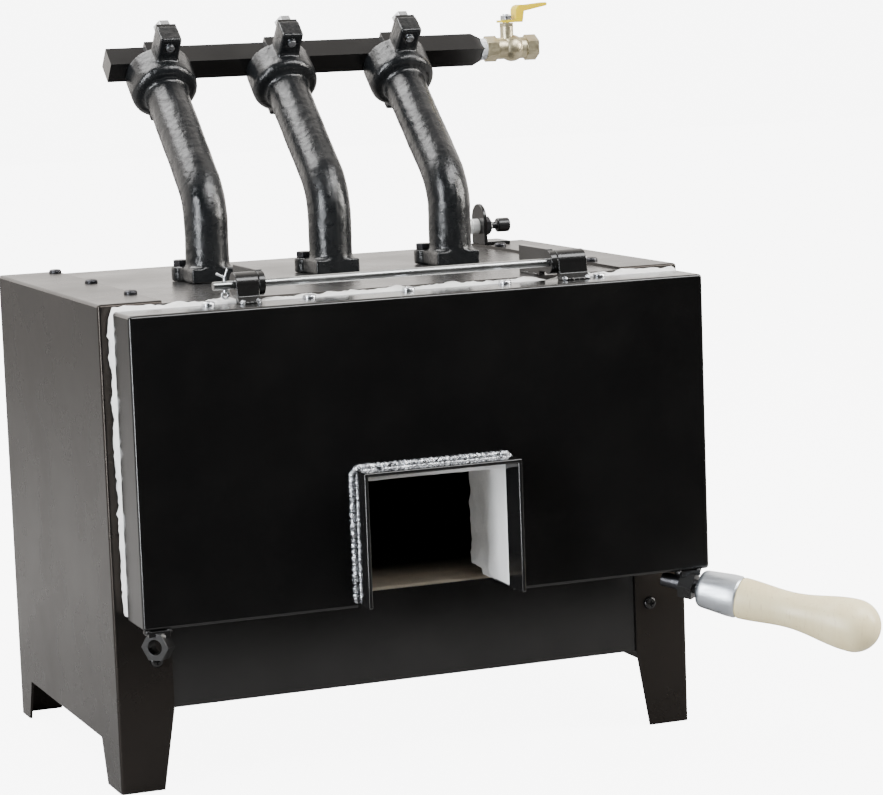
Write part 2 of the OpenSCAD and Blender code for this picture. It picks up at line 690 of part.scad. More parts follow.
module handle_ferrule() color(zinc) placed() along_handle() rotate_extrude()
    polygon(concat([[stud_r + thread_clear, ferrule_start]], arc(9, ferrule_start + 5.5, 5.5, -90, 0, 8),
                   [[ferrule_r, ferrule_end - 8], [ferrule_r, ferrule_end - 2],
                    [ferrule_r - 1.2, ferrule_end], [13.2, ferrule_start + 10],
                    [12, ferrule_start + 8], [stud_r + thread_clear, ferrule_start + 8]]));

module wooden_handle() color([0.93, 0.85, 0.66]) placed() along_handle() rotate_extrude()
    polygon(concat([[stud_r + thread_clear, ferrule_start + 10.3], [12.8, ferrule_start + 10.3],
                    [ferrule_r - 1.5, ferrule_end]],
                   [for (i = [0:16]) [grip_r(i/16), ferrule_end + 1 + i/16*(butt_centre - ferrule_end - 1)]],
                   arc(0, butt_centre, butt_r, 0, 90, 12),
                   [[0, ferrule_end + 12], [stud_r + thread_clear, ferrule_end + 12]]));

left_side_panel();
right_side_panel();
lower_front_panel();
rear_panel();
bottom_pan();
top_plate();
top_screws();
front_screws();
rear_screws();
floor_brick();
left_lining();
right_lining();
rear_lining();
roof_lining();
burner_1();
burner_2();
burner_3();
burner_bolts();
manifold_bar();
gas_jets();
manifold_clips();
clip_bolts();
inlet_nipple();
valve_body();
valve_seats();
valve_ball();
valve_gland_nut();
valve_lever();
lever_nut();
igniter_bracket();
igniter_body();
igniter_nut();
igniter_button();
hinge_ear_left();
hinge_ear_right();
hinge_rod();
cotter_pin();
door_pan();
door_collar();
door_lining();
door_screws();
hinge_strap_left();
hinge_strap_right();
spare_nut();
handle_nut();
handle_stud();
handle_ferrule();
wooden_handle();
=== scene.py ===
"""Looks of the three-burner gas forge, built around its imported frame. Metres, +Z up, the door faces -Y."""
import json
import math
import random

import bmesh
import bpy
from mathutils import Matrix, Vector, noise

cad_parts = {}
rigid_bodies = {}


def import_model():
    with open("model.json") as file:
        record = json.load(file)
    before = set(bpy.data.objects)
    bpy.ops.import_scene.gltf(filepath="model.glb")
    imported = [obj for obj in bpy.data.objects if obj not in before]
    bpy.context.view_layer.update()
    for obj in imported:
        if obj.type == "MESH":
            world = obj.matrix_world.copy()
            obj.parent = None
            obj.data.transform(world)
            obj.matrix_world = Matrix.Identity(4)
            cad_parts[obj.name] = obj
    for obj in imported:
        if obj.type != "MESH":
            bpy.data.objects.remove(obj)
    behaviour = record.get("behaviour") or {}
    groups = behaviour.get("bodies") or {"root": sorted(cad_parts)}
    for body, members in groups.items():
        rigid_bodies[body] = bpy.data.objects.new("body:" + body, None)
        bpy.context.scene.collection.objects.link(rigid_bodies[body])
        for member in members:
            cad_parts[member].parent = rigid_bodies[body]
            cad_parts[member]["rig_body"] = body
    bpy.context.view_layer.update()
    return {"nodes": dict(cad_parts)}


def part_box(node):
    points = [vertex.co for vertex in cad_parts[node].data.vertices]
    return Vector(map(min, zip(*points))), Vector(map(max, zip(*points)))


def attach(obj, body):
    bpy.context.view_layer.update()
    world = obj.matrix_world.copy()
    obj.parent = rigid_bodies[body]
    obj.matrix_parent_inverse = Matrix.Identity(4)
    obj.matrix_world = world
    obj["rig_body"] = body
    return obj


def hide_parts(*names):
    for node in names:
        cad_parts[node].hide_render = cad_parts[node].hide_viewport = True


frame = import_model()
nodes = frame["nodes"]

MM = 0.001
X, Z = Vector((1, 0, 0)), Vector((0, 0, 1))
SHEET = 2 * MM               # thickness of the sheet metal
HANDLE_SWING = 45            # outward angle of the handle, in degrees
HANDLE_DROOP = 11            # downward slope of the handle, in degrees
SHARP = 32                   # an edge that turns by more degrees than this is sharp, and not part of a curve


# ---------------------------------------------------------------- materials

def add_node(tree, kind, values=None, **settings):
    """Adds a node to the tree. Each of its values is a number, a colour or the socket that feeds it."""
    added = tree.nodes.new(kind)
    for key, value in settings.items():
        setattr(added, key, value)
    for key, value in (values or {}).items():
        if isinstance(value, bpy.types.NodeSocket):
            tree.links.new(value, added.inputs[key])
        else:
            added.inputs[key].default_value = value
    return added


class Shader:
    """A Principled material under construction. Its methods add nodes and return the socket that they feed.
    Scales are in cycles per metre, as the object's own coordinates are in metres."""

    def __init__(self, name, turn=(0, 0, 0), **sockets):
        self.material = bpy.data.materials.new(name)
        self.material.use_nodes = True
        self.tree = self.material.node_tree
        self.surface = self.tree.nodes["Principled BSDF"]
        self.place = self.add("ShaderNodeTexCoord").outputs["Object"]
        self.turn = turn
        for socket, value in sockets.items():
            self.surface.inputs[socket.replace("_", " ")].default_value = value

    def add(self, kind, values=None, **settings):
        return add_node(self.tree, kind, values, **settings)

    def set(self, socket, source):
        self.tree.links.new(source, self.surface.inputs[socket])

    def noise(self, scale, detail=4.0, rough=0.55, stretch=(1, 1, 1), distort=0.0):
        mapped = self.add("ShaderNodeMapping",
                          {"Vector": self.place, "Rotation": self.turn, "Scale": stretch})
        values = {"Vector": mapped.outputs[0], "Scale": scale, "Detail": detail, "Roughness": rough,
                  "Distortion": distort}
        return self.add("ShaderNodeTexNoise", values).outputs["Fac"]

    def specks(self, scale, size):
        """1 at the middle of each scattered speck, falling to 0 at its rim."""
        cells = self.add("ShaderNodeTexVoronoi", {"Vector": self.place, "Scale": scale})
        return self.span(cells.outputs["Distance"], size, 0, 0, 1)

    def span(self, source, low, high, to_low, to_high):
        mapped = self.add("ShaderNodeMapRange", {"Value": source, "From Min": low, "From Max": high,
                                                 "To Min": to_low, "To Max": to_high})
        return mapped.outputs["Result"]

    def blend(self, factor, first, second):
        mixed = self.add("ShaderNodeMix", data_type="RGBA")
        sockets = [s for s in mixed.inputs if s.enabled and s.type in ("RGBA", "VALUE")]
        for key, value in (("Factor", factor), ("A", first), ("B", second)):
            socket = [s for s in sockets if s.name == key][0]
            if isinstance(value, bpy.types.NodeSocket):
                self.tree.links.new(value, socket)
            else:
                socket.default_value = value if key == "Factor" else (*value, 1)
        return [s for s in mixed.outputs if s.type == "RGBA"][0]

    def along(self, axis):
        return self.add("ShaderNodeSeparateXYZ", {"Vector": self.place}).outputs[axis]

    def math(self, operation, first, second):
        return self.add("ShaderNodeMath", {0: first, 1: second}, operation=operation).outputs[0]

    def bump(self, *layers):
        """Layers of (height socket, strength, depth in metres), each on top of the last."""
        normal = None
        for height, strength, depth in layers:
            values = {"Height": height, "Strength": strength, "Distance": depth}
            if normal:
                values["Normal"] = normal
            normal = self.add("ShaderNodeBump", values).outputs["Normal"]
        self.set("Normal", normal)


def black_paint(name="black_paint", dark=0.0025, light=0.005, rough=(0.16, 0.25), dusty=0.05, gloss=0.5,
                reflection_tint=(1, 1, 1)):
    """Black spray paint on sheet steel: uneven gloss, patches of dust, pale specks and orange peel."""
    # The tint colours the paint's reflections; a warm tint is a painted reflection of a warm room.
    s = Shader(name, IOR=1.5, Specular_IOR_Level=gloss, Specular_Tint=(*reflection_tint, 1))
    colour = s.blend(s.noise(5, 3), (dark, dark, dark * 1.08), (light, light * 0.97, light * 0.93))
    dust = s.math("MULTIPLY", s.span(s.noise(28, 5, 0.6), 0.45, 0.9, 0, 1), dusty)
    colour = s.blend(dust, colour, (0.05, 0.047, 0.043))
    s.set("Base Color", s.blend(s.specks(45, 0.012), colour, (0.1, 0.1, 0.1)))
    s.set("Roughness", s.span(s.noise(11, 6, 0.6), 0.3, 0.7, *rough))
    s.bump((s.noise(3.5, 2), 0.25, 2 * MM), (s.noise(620, 2), 0.12, 0.1 * MM))
    return s.material


def cast_paint():
    """Glossy black paint over sand-cast iron, rubbed grey in places."""
    s = Shader("cast_black", IOR=1.5)
    sand = s.noise(260, 8, 0.65)
    colour = s.blend(sand, (0.003, 0.0035, 0.004), (0.012, 0.013, 0.014))
    rubbed = s.span(s.noise(38, 8, 0.7), 0.62, 0.85, 0, 0.4)
    s.set("Base Color", s.blend(rubbed, colour, (0.05, 0.053, 0.056)))
    s.set("Roughness", s.span(s.noise(60, 6), 0.3, 0.7, 0.14, 0.34))
    s.bump((s.noise(45, 4), 0.6, 1.6 * MM), (sand, 0.7, 0.5 * MM), (s.noise(900, 3), 0.3, 0.1 * MM))
    return s.material


def metal(name, colour, dull, rough, grain=300, depth=0.05, stain=0.35, metallic=1.0, turn=(0, 0, 0),
          stretch=(1, 1, 1)):
    """Bare or plated metal with duller stains and a fine grain, its depth in millimetres."""
    s = Shader(name, turn=turn, Metallic=metallic)
    stains = s.span(s.noise(grain * 0.3, 6, 0.65), 0.45, 0.75, 0, stain)
    s.set("Base Color", s.blend(stains, colour, dull))
    s.set("Roughness", s.span(s.noise(grain, 4, 0.6, stretch), 0.3, 0.7, *rough))
    s.bump((s.noise(grain, 5, 0.6, stretch), 0.5, depth * MM))
    return s.material


def weld_metal():
    """Bright weld metal with dark scale in its hollows."""
    s = Shader("weld_bead", Metallic=1.0)
    scale = s.span(s.noise(380, 6, 0.7), 0.42, 0.62, 0, 1)
    s.set("Base Color", s.blend(scale, (0.72, 0.74, 0.78), (0.03, 0.03, 0.035)))
    s.set("Roughness", s.span(s.noise(240, 4), 0.3, 0.7, 0.12, 0.42))
    s.bump((s.noise(420, 6, 0.7), 0.9, 0.8 * MM))
    return s.material


def fibre(name, shade_from=None, shade_to=None):
    """White ceramic fibre. Given its last two arguments, painted shade darkens it between those two values of
    y, deeper inside the firebox.
    """
    s = Shader(name, Roughness=0.96, Sheen_Weight=0.25)
    strands = s.noise(150, 8, 0.75, (1, 1.6, 0.7), 1.5)
    colour = s.blend(strands, (0.74, 0.74, 0.73), (0.96, 0.96, 0.95))
    colour = s.blend(s.span(s.noise(14, 4), 0.4, 0.75, 0, 0.3), colour, (0.8, 0.79, 0.77))
    if shade_from is not None:
        # Painted shade: the fibre darkens between the two values of y, deeper inside the unlit firebox.
        uneven = s.math("ADD", s.along("Y"), s.math("MULTIPLY", s.noise(60, 4), 0.02))
        painted_shade_colour = s.blend(s.noise(30, 5), (0.006, 0.006, 0.008), (0.016, 0.015, 0.016))
        colour = s.blend(s.span(uneven, shade_from, shade_to, 0, 1), colour, painted_shade_colour)
    s.set("Base Color", colour)
    fuzz = s.noise(700, 6, 0.8, (1, 3, 1))
    s.bump((s.noise(40, 4), 0.5, 1.5 * MM), (strands, 0.8, 1.0 * MM), (fuzz, 0.6, 0.25 * MM))
    return s.material


def brick():
    """Soft firebrick, speckled, and darkened with painted shade from a few centimetres behind its front edge.
    """
    s = Shader("firebrick", Roughness=0.94)
    colour = s.blend(s.noise(55, 8, 0.7), (0.5, 0.42, 0.33), (0.8, 0.7, 0.56))
    colour = s.blend(s.specks(240, 0.16), colour, (0.26, 0.21, 0.16))
    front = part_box("floor_brick")[0].y
    # Painted shade: the brick darkens from 35 to 85 mm behind its front edge, where the firebox is unlit.
    painted_shade_mask = s.span(s.along("Y"), front + 35 * MM, front + 85 * MM, 0, 1)
    s.set("Base Color", s.blend(painted_shade_mask, colour, (0.02, 0.018, 0.016)))
    s.bump((s.noise(110, 6, 0.7), 0.7, 0.8 * MM), (s.noise(700, 4), 0.5, 0.2 * MM))
    return s.material


def wood(turn):
    """Pale turned wood, its grain along the z axis of the given turn."""
    s = Shader("pale_wood", turn=turn, Roughness=0.38, Coat_Weight=0.25, Coat_Roughness=0.25)
    grain = s.span(s.noise(46, 5, 0.6, (1, 1, 0.09), 0.6), 0.3, 0.7, 0, 1)
    colour = s.blend(grain, (0.97, 0.86, 0.54), (0.88, 0.74, 0.42))
    pores = s.noise(560, 3, 0.6, (1, 1, 0.05))
    s.set("Base Color", s.blend(s.span(pores, 0.58, 0.72, 0, 0.35), colour, (0.55, 0.38, 0.19)))
    s.bump((pores, 0.25, 0.1 * MM))
    return s.material


def vinyl():
    """The soft yellow sleeve of the valve's lever."""
    s = Shader("yellow_vinyl", Roughness=0.34, Subsurface_Weight=0.08)
    s.set("Base Color", s.blend(s.noise(90, 5), (0.62, 0.44, 0.002), (0.72, 0.54, 0.01)))
    s.bump((s.noise(160, 4), 0.3, 0.2 * MM), (s.noise(1500, 2), 0.2, 0.03 * MM))
    return s.material


def tape():
    """White sealing tape, its turns showing as fine ridges round the x axis."""
    s = Shader("ptfe", Roughness=0.55)
    turns = s.noise(700, 2, 0.5, (1, 0.08, 0.08))
    s.set("Base Color", s.blend(turns, (0.8, 0.82, 0.84), (0.95, 0.95, 0.95)))
    s.bump((turns, 0.8, 0.3 * MM))
    return s.material


def plastic(name, colour, rough, mottle=0.2):
    s = Shader(name, Roughness=rough)
    mottled = s.math("MULTIPLY", s.noise(70, 5), mottle)
    s.set("Base Color", s.blend(mottled, colour, tuple(c * 0.5 for c in colour)))
    s.bump((s.noise(900, 3), 0.2, 0.04 * MM))
    return s.material


handle_turn = Matrix.Rotation(math.radians(-HANDLE_SWING), 4, "Z") @ Matrix.Rotation(
    math.radians(90 + HANDLE_DROOP), 4, "Y")
handle_euler = handle_turn.inverted().to_euler()
mouth_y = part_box("left_lining")[0].y

PAINT = black_paint()
# Top plate paint: real streaky dust, with a lighter base and a warm tint that are painted reflection of the
# bright rear.
TOP_PAINT_DUST_AND_PAINTED_SHEEN = black_paint("black_paint_top_dust_and_painted_sheen", 0.02, 0.032, (0.2, 0.34), 0.35, 0.65, (1, 0.94, 0.88))
# Side panel paint: its warm tint is a painted reflection of a warm room on the glossy sides.
SIDE_PAINT_PAINTED_SHEEN = black_paint("black_paint_side_painted_sheen", 0.003, 0.006, (0.22, 0.32), 0.04, 0.35, (1, 0.86, 0.76))
GLOSS_PAINT = black_paint("black_paint_gloss", 0.006, 0.012, (0.05, 0.11), 0.1, 0.9)
SMALL_PAINT = black_paint("black_paint_small", 0.004, 0.009, (0.16, 0.3), 0.15)
CAST = cast_paint()
ZINC = metal("zinc", (0.72, 0.74, 0.77), (0.42, 0.44, 0.47), (0.2, 0.4), 320, 0.06)
FERRULE = metal("zinc_ferrule", (0.74, 0.78, 0.83), (0.5, 0.54, 0.6), (0.3, 0.48), 120, 0.05, 0.6,
                turn=handle_euler, stretch=(0.2, 0.2, 5))
BARE = metal("bare_rod", (0.42, 0.43, 0.43), (0.16, 0.16, 0.16), (0.22, 0.42), 260, 0.05, 0.6,
             stretch=(0.05, 1, 1))
DARK = metal("dark_steel", (0.06, 0.06, 0.065), (0.02, 0.02, 0.02), (0.28, 0.5), 300, 0.06, 0.5)
BRASS = metal("brass", (0.56, 0.5, 0.34), (0.3, 0.25, 0.15), (0.28, 0.48), 420, 0.16, 0.6, 0.9)
WELD = weld_metal()
FIBRE = fibre("fibre")
# Linings inside the firebox, darkened with painted shade from 12 to 30 mm behind its mouth.
SHADED_FIBRE = fibre("fibre_painted_shade", mouth_y + 12 * MM, mouth_y + 30 * MM)
BRICK = brick()
WOOD = wood(handle_euler)
VINYL = vinyl()
TAPE = tape()
CERAMIC = plastic("white_ceramic", (0.86, 0.86, 0.84), 0.2)
PLASTIC = plastic("black_plastic", (0.012, 0.012, 0.013), 0.3)


# ---------------------------------------------------------------- mesh helpers

def body_of(node):
    return nodes[node]["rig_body"]


def link(name, mesh, material, body):
    piece = bpy.data.objects.new(name, mesh)
    bpy.context.scene.collection.objects.link(piece)
    mesh.materials.clear()
    mesh.materials.append(material)
    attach(piece, body)
    return piece


def settled(piece):
    """Applies the piece's modifiers to its mesh."""
    bpy.context.view_layer.update()
    mesh = bpy.data.meshes.new_from_object(piece.evaluated_get(bpy.context.evaluated_depsgraph_get()))
    piece.modifiers.clear()
    piece.data = mesh
    return piece


def smooth(mesh, angle=None):
    """Shades the mesh smooth, apart from edges that turn by more than the angle, in degrees."""
    mesh.polygons.foreach_set("use_smooth", [True] * len(mesh.polygons))
    if angle:
        mesh.set_sharp_from_angle(angle=math.radians(angle))
    mesh.update()


def even_normals(piece):
    """Lets the largest face at each corner set its normal, so that flat sheets shade flat to their edges."""
    even = piece.modifiers.new("even", "WEIGHTED_NORMAL")
    even.mode = "FACE_AREA"
    even.weight = 100
    even.keep_sharp = True


def clean_copy(node):
    """The node's mesh with its doubled vertices joined and its flat faces made whole."""
    bm = bmesh.new()
    bm.from_mesh(nodes[node].data)
    bmesh.ops.remove_doubles(bm, verts=bm.verts, dist=0.002 * MM)
    bmesh.ops.dissolve_limit(bm, angle_limit=math.radians(0.6), verts=bm.verts, edges=bm.edges)
    mesh = bpy.data.meshes.new(node + "_edged")
    bm.to_mesh(mesh)
    bm.free()
    return mesh


def edged(node, material, width, segments=3):
    """Stands for a node whose shape is right, with its sharp edges rounded to the width in millimetres."""
    mesh = clean_copy(node)
    smooth(mesh)
    piece = link(node + "_edged", mesh, material, body_of(node))
    bevel = piece.modifiers.new("edges", "BEVEL")
    bevel.width = width * MM
    bevel.segments = segments
    bevel.limit_method = "ANGLE"
    bevel.angle_limit = math.radians(SHARP)
    even_normals(piece)
    settled(piece)
    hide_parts(node)
    return piece


def side_of(face):
    """Which side of a box a face is: an axis, and the end of the box that it lies on."""
    axis = max(range(3), key=lambda i: abs(face.normal[i]))
    return axis, "high" if face.normal[axis] > 0 else "low"


def bend_form(node, radius, open_sides):
    """The node's box, a hair larger, with the bend's radius on its edges, and run past its open sides."""
    hair, spill = 0.01 * MM, 20 * MM
    ends = dict(zip(("low", "high"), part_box(node)))
    for axis in range(3):
        for end, outward in (("low", -1), ("high", 1)):
            ends[end][axis] += outward * (spill if (axis, end) in open_sides else hair)
    bm = bmesh.new()
    bmesh.ops.create_cube(bm, size=1)
    for vertex in bm.verts:
        vertex.co = Vector([ends["high" if vertex.co[i] > 0 else "low"][i] for i in range(3)])
    bm.normal_update()
    bends = [edge for edge in bm.edges if not any(side_of(face) in open_sides for face in edge.link_faces)]
    bmesh.ops.bevel(bm, geom=bends, offset=radius * MM, segments=6, profile=0.5, affect="EDGES")
    mesh = bpy.data.meshes.new(node + "_form")
    bm.to_mesh(mesh)
    bm.free()
    form = bpy.data.objects.new(node + "_form", mesh)
    bpy.context.scene.collection.objects.link(form)
    return form


def folded(node, material, radius, open_sides):
    """Stands for a node folded from sheet metal, with its bends rounded to the radius in millimetres.
    The open sides of its box, each an axis and an end, have no bends round them."""
    form = bend_form(node, radius, open_sides)
    piece = link(node + "_folded", clean_copy(node), material, body_of(node))
    cut = piece.modifiers.new("bends", "BOOLEAN")
    cut.operation = "INTERSECT"
    cut.solver = "EXACT"
    cut.object = form
    settled(piece)
    bpy.data.objects.remove(form)
    smooth(piece.data, SHARP)
    even_normals(piece)
    settled(piece)
    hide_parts(node)
    return piece


def remeshed(node, material, voxel, relax):
    """The node's shape as an even mesh of voxel millimetres, its edges softened by relax passes."""
    piece = link(node + "_surface", nodes[node].data.copy(), material, body_of(node))
    remesh = piece.modifiers.new("remesh", "REMESH")
    remesh.mode = "VOXEL"
    remesh.voxel_size = voxel * MM
    soften = piece.modifiers.new("soften", "SMOOTH")
    soften.factor = 0.5
    soften.iterations = relax
    settled(piece)
    smooth(piece.data)
    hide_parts(node)
    return piece


def moved(piece, offset):
    """Moves each vertex by what offset(place, normal) says."""
    mesh = piece.data
    shifts = [offset(v.co.copy(), v.normal.copy()) for v in mesh.vertices]
    for vertex, shift in zip(mesh.vertices, shifts):
        vertex.co += shift
    smooth(mesh)
    return piece


def tube(bm, points, radius, sides):
    """Adds a closed tube along the points. radius(i) gives the radius at point i."""
    rings = []
    side = None
    for i, point in enumerate(points):
        ahead = (points[min(i + 1, len(points) - 1)] - points[max(i - 1, 0)]).normalized()
        if side is None:
            side = ahead.orthogonal().normalized()
        side = (side - ahead * side.dot(ahead)).normalized()
        other = ahead.cross(side)
        ring = []
        for k in range(sides):
            a = 2 * math.pi * k / sides
            ring.append(bm.verts.new(point + (side * math.cos(a) + other * math.sin(a)) * radius(i)))
        rings.append(ring)
    for near, far in zip(rings, rings[1:]):
        for k in range(sides):
            bm.faces.new((near[k], near[(k + 1) % sides], far[(k + 1) % sides], far[k]))
    bm.faces.new(reversed(rings[0]))
    bm.faces.new(rings[-1])


def made(name, bm, material, body):
    bmesh.ops.recalc_face_normals(bm, faces=bm.faces)
    mesh = bpy.data.meshes.new(name)
    bm.to_mesh(mesh)
    bm.free()
    smooth(mesh)
    return link(name, mesh, material, body)


def dotted(corners, step):
    """Points a step apart along straight runs between the corners."""
    points = []
    for a, b in zip(corners, corners[1:]):
        count = max(1, round((b - a).length / step))
        points += [a.lerp(b, i / count) for i in range(count)]
    return points + [corners[-1]]


def weld(name, corners, radius, body, seed, material=WELD):
    """A weld bead laid along the corners, rippled and uneven, its radius in millimetres."""
    step, wobble = 0.7 * MM, 0.12 * radius * MM
    rng = random.Random(seed)
    points = dotted(corners, step)
    wander = [Vector([rng.uniform(-1, 1) for _ in range(3)]) * wobble for _ in points]

    def bead(i):
        ripple = 0.82 + 0.18 * abs(math.sin(i * 0.55 + 1.2 * noise.noise(points[i] * 90)))
        ends = min(1.0, 0.45 + 0.14 * min(i, len(points) - 1 - i))
        lumps = 1 + 0.18 * noise.noise(points[i] * 400 + Vector((seed, 0, 0)))
        return radius * MM * ripple * ends * lumps

    bm = bmesh.new()
    tube(bm, [p + w for p, w in zip(points, wander)], bead, 12)
    return made(name, bm, material, body)


def blob(name, centre, size, body, seed, material=WELD):
    """A drop of weld metal: a lumpy ball of the given half sizes in millimetres."""
    bm = bmesh.new()
    bmesh.ops.create_icosphere(bm, subdivisions=4, radius=1)
    for v in bm.verts:
        lump = 1 + 0.22 * noise.noise(v.co * 1.7 + Vector((seed, 0, 0))) + 0.08 * noise.noise(v.co * 6)
        v.co = centre + Vector([c * s * MM for c, s in zip(v.co * lump, size)])
    return made(name, bm, material, body)


# ---------------------------------------------------------------- sheet metal and plain hardware

PANEL_BEND, PAN_BEND = 2.4, 2.6   # outer radius of the sheet metal's bends, in millimetres

folded("left_side_panel", SIDE_PAINT_PAINTED_SHEEN, PANEL_BEND, ((2, "low"), (0, "high")))
folded("right_side_panel", SIDE_PAINT_PAINTED_SHEEN, PANEL_BEND, ((2, "low"), (0, "low")))
for node in ("lower_front_panel", "rear_panel", "bottom_pan"):
    edged(node, PAINT, 0.9)
edged("top_plate", TOP_PAINT_DUST_AND_PAINTED_SHEEN, 0.8)
folded("door_pan", PAINT, PAN_BEND, ((1, "high"),))
edged("door_collar", GLOSS_PAINT, 0.9)
for node in ("front_screws", "igniter_bracket", "hinge_ear_left", "hinge_ear_right", "hinge_strap_left",
             "hinge_strap_right", "spare_nut", "handle_nut", "manifold_clips"):
    edged(node, SMALL_PAINT, 0.5)
edged("manifold_bar", SMALL_PAINT, 1.6, 4)
for node in ("top_screws", "rear_screws", "burner_bolts", "igniter_nut", "handle_stud"):
    edged(node, DARK, 0.25, 2)
for node in ("door_screws", "clip_bolts", "lever_nut", "valve_ball"):
    edged(node, ZINC, 0.25, 2)
edged("cotter_pin", ZINC, 0.1, 2)
edged("hinge_rod", BARE, 0.4)
for node in ("valve_body", "valve_gland_nut", "gas_jets"):
    edged(node, BRASS, 0.4)
edged("valve_lever", VINYL, 0.9, 4)
edged("inlet_nipple", TAPE, 0.2, 2)
edged("valve_seats", TAPE, 0.1, 2)
edged("igniter_body", CERAMIC, 0.5)
edged("igniter_button", PLASTIC, 1.2, 4)
edged("handle_ferrule", FERRULE, 0.4)
edged("wooden_handle", WOOD, 0.5)


# ---------------------------------------------------------------- castings

def casting(node):
    """Cast iron: softened corners, a sandy skin and the raised line where the mould halves met."""
    low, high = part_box(node)
    middle = (low.x + high.x) / 2
    line_half, line_height = 1.1 * MM, 0.35
    piece = remeshed(node, CAST, 1.3, 5)

    def offset(place, normal):
        sand = 0.16 * noise.noise(place * 260) + 0.3 * noise.noise(place * 55)
        parting = max(0.0, 1 - abs(place.x - middle) / line_half) * line_height
        return normal * (sand + parting - 0.12) * MM

    return moved(piece, offset)


for burner in ("burner_1", "burner_2", "burner_3"):
    casting(burner)


# ---------------------------------------------------------------- lining

RIM = 17 * MM                # depth of the door lining's bare rim, from the pan back to the body
UNFRAYED = 17 * MM           # depth of the lining's rear part, the plug in the firebox, that doesn't fray
SIDE_RIM = 210 * MM          # the side rims begin this far from the lining's middle
EAR_REACH = 12 * MM          # the rim swells less than this far from the middle of a hinge ear


def felt(node, material, swell, voxel=4.5, ragged=None):
    """Fibre blanket: an uneven, soft surface inside the node's own box. ragged(place) adds roughness."""
    piece = remeshed(node, material, voxel, 3)

    def offset(place, normal):
        waves = 0.9 * noise.noise(place * 38) + 0.45 * noise.noise(place * 130) - 0.9
        tufts = 0.5 + noise.noise(place * 95) + 0.6 * noise.noise(place * 240)
        extra = ragged(place) if ragged else 0.0
        return normal * (waves * swell + extra * tufts) * MM

    return moved(piece, offset)


for node in ("left_lining", "right_lining", "rear_lining", "roof_lining"):
    felt(node, SHADED_FIBRE, 0.9)

door_low, door_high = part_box("door_pan")
lining_low, lining_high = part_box("door_lining")
collar_low, collar_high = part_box("door_collar")
lining_middle = (lining_low.x + lining_high.x) / 2
ear_middles = [sum(corner.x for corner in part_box(ear)) / 2 for ear in ("hinge_ear_left", "hinge_ear_right")]


def torn(place):
    """How far the door's lining frays: most along its bare rim behind the pan and round the work opening."""
    beside = 4 * MM
    rim = door_high.y < place.y < lining_high.y - UNFRAYED
    outer = place.z > door_high.z - 8 * MM or abs(place.x - lining_middle) > SIDE_RIM
    slot = (collar_low.x - beside < place.x < collar_high.x + beside and place.z < collar_high.z + beside
            and place.y > door_high.y - beside)
    if rim and outer:
        return 1.8
    return 1.6 if slot else 0.0


def puffed(place, normal):
    """The rim of the door's lining swells unevenly, up behind the pan's top edge and out at its sides."""
    if not door_high.y < place.y < door_high.y + RIM:
        return Vector()
    swell = 3.2 + 1.6 * noise.noise(place * 60) + 1.0 * noise.noise(place * 210)
    swell *= min([1.0] + [abs(place.x - ear) / EAR_REACH for ear in ear_middles])
    if normal.z > 0.2 and place.z > door_high.z - 6 * MM:
        return Z * MM * swell
    if abs(normal.x) > 0.4 and abs(place.x - lining_middle) > SIDE_RIM:
        return X * MM * (swell - 1.2) * (1 if normal.x > 0 else -1)
    return Vector()


def crumbled(place, normal):
    """The worn faces and edges of the firebrick."""
    return normal * MM * (0.7 * noise.noise(place * 60) + 0.35 * noise.noise(place * 220) - 0.6)


moved(felt("door_lining", FIBRE, 0.55, 3.0, torn), puffed)
moved(remeshed("floor_brick", BRICK, 3.0, 2), crumbled)


# ---------------------------------------------------------------- welds

def round_the_collar(name, out, y, radius, seed):
    """A bead along the collar's left, top and right walls, its centre the given distance outside them."""
    left, right, top, bottom = collar_low.x, collar_high.x, collar_high.z, collar_low.z + MM
    cut = 3 * MM
    weld(name, [Vector((left - out, y, bottom)), Vector((left - out, y, top - cut)),
                Vector((left + cut, y, top + out)), Vector((right - cut, y, top + out)),
                Vector((right + out, y, top - cut)), Vector((right + out, y, bottom))], radius, "door", seed)


round_the_collar("collar_weld", 1.2 * MM, door_low.y, 2.7, 3)
round_the_collar("collar_spatter", -0.4 * MM, door_low.y - 7 * MM, 1.5, 5)


def strap_welds(strap, seed):
    """Welds where a hinge strap meets the door's top: one along its front edge and a lump at each end."""
    low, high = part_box(strap)
    front, foot = low.y + 0.6 * MM, low.z + 0.6 * MM
    inset, lump_inset = 2 * MM, 2.4 * MM
    weld(strap + "_weld", [Vector((low.x + inset, front, foot)), Vector((high.x - inset, front, foot))],
         1.5, "door", seed, SMALL_PAINT)
    for i, x in enumerate((low.x + lump_inset, high.x - lump_inset)):
        blob("%s_lump_%d" % (strap, i + 1), Vector((x, front + 1.5 * MM, low.z + MM)), (2.1, 3, 2.2),
             "door", seed + i)


strap_welds("hinge_strap_left", 11)
strap_welds("hinge_strap_right", 21)


def ear_welds(ear, seed):
    """Welds along both feet of a hinge ear on the top plate."""
    low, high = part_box(ear)
    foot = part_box("left_side_panel")[1].z - SHEET + 0.5 * MM
    front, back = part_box("top_plate")[0].y + 4 * MM, high.y - 2 * MM
    for i, x in enumerate((low.x, high.x)):
        weld("%s_weld_%d" % (ear, i + 1), [Vector((x, front, foot)), Vector((x, back, foot))],
             1.4, "forge_body", seed + i, SMALL_PAINT)


ear_welds("hinge_ear_left", 31)
ear_welds("hinge_ear_right", 41)


def nut_welds(nut, seed):
    """Lumps of weld either side of the tab that holds a nut under the door."""
    low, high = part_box(nut)
    middle, apart = (low + high) / 2, 8 * MM
    for i, x in enumerate((middle.x - apart, middle.x + apart)):
        blob("%s_lump_%d" % (nut, i + 1), Vector((x, middle.y, high.z - 0.6 * MM)), (2.6, 4.2, 2.0),
             "door", seed + i, SMALL_PAINT)


nut_welds("spare_nut", 51)
nut_welds("handle_nut", 61)


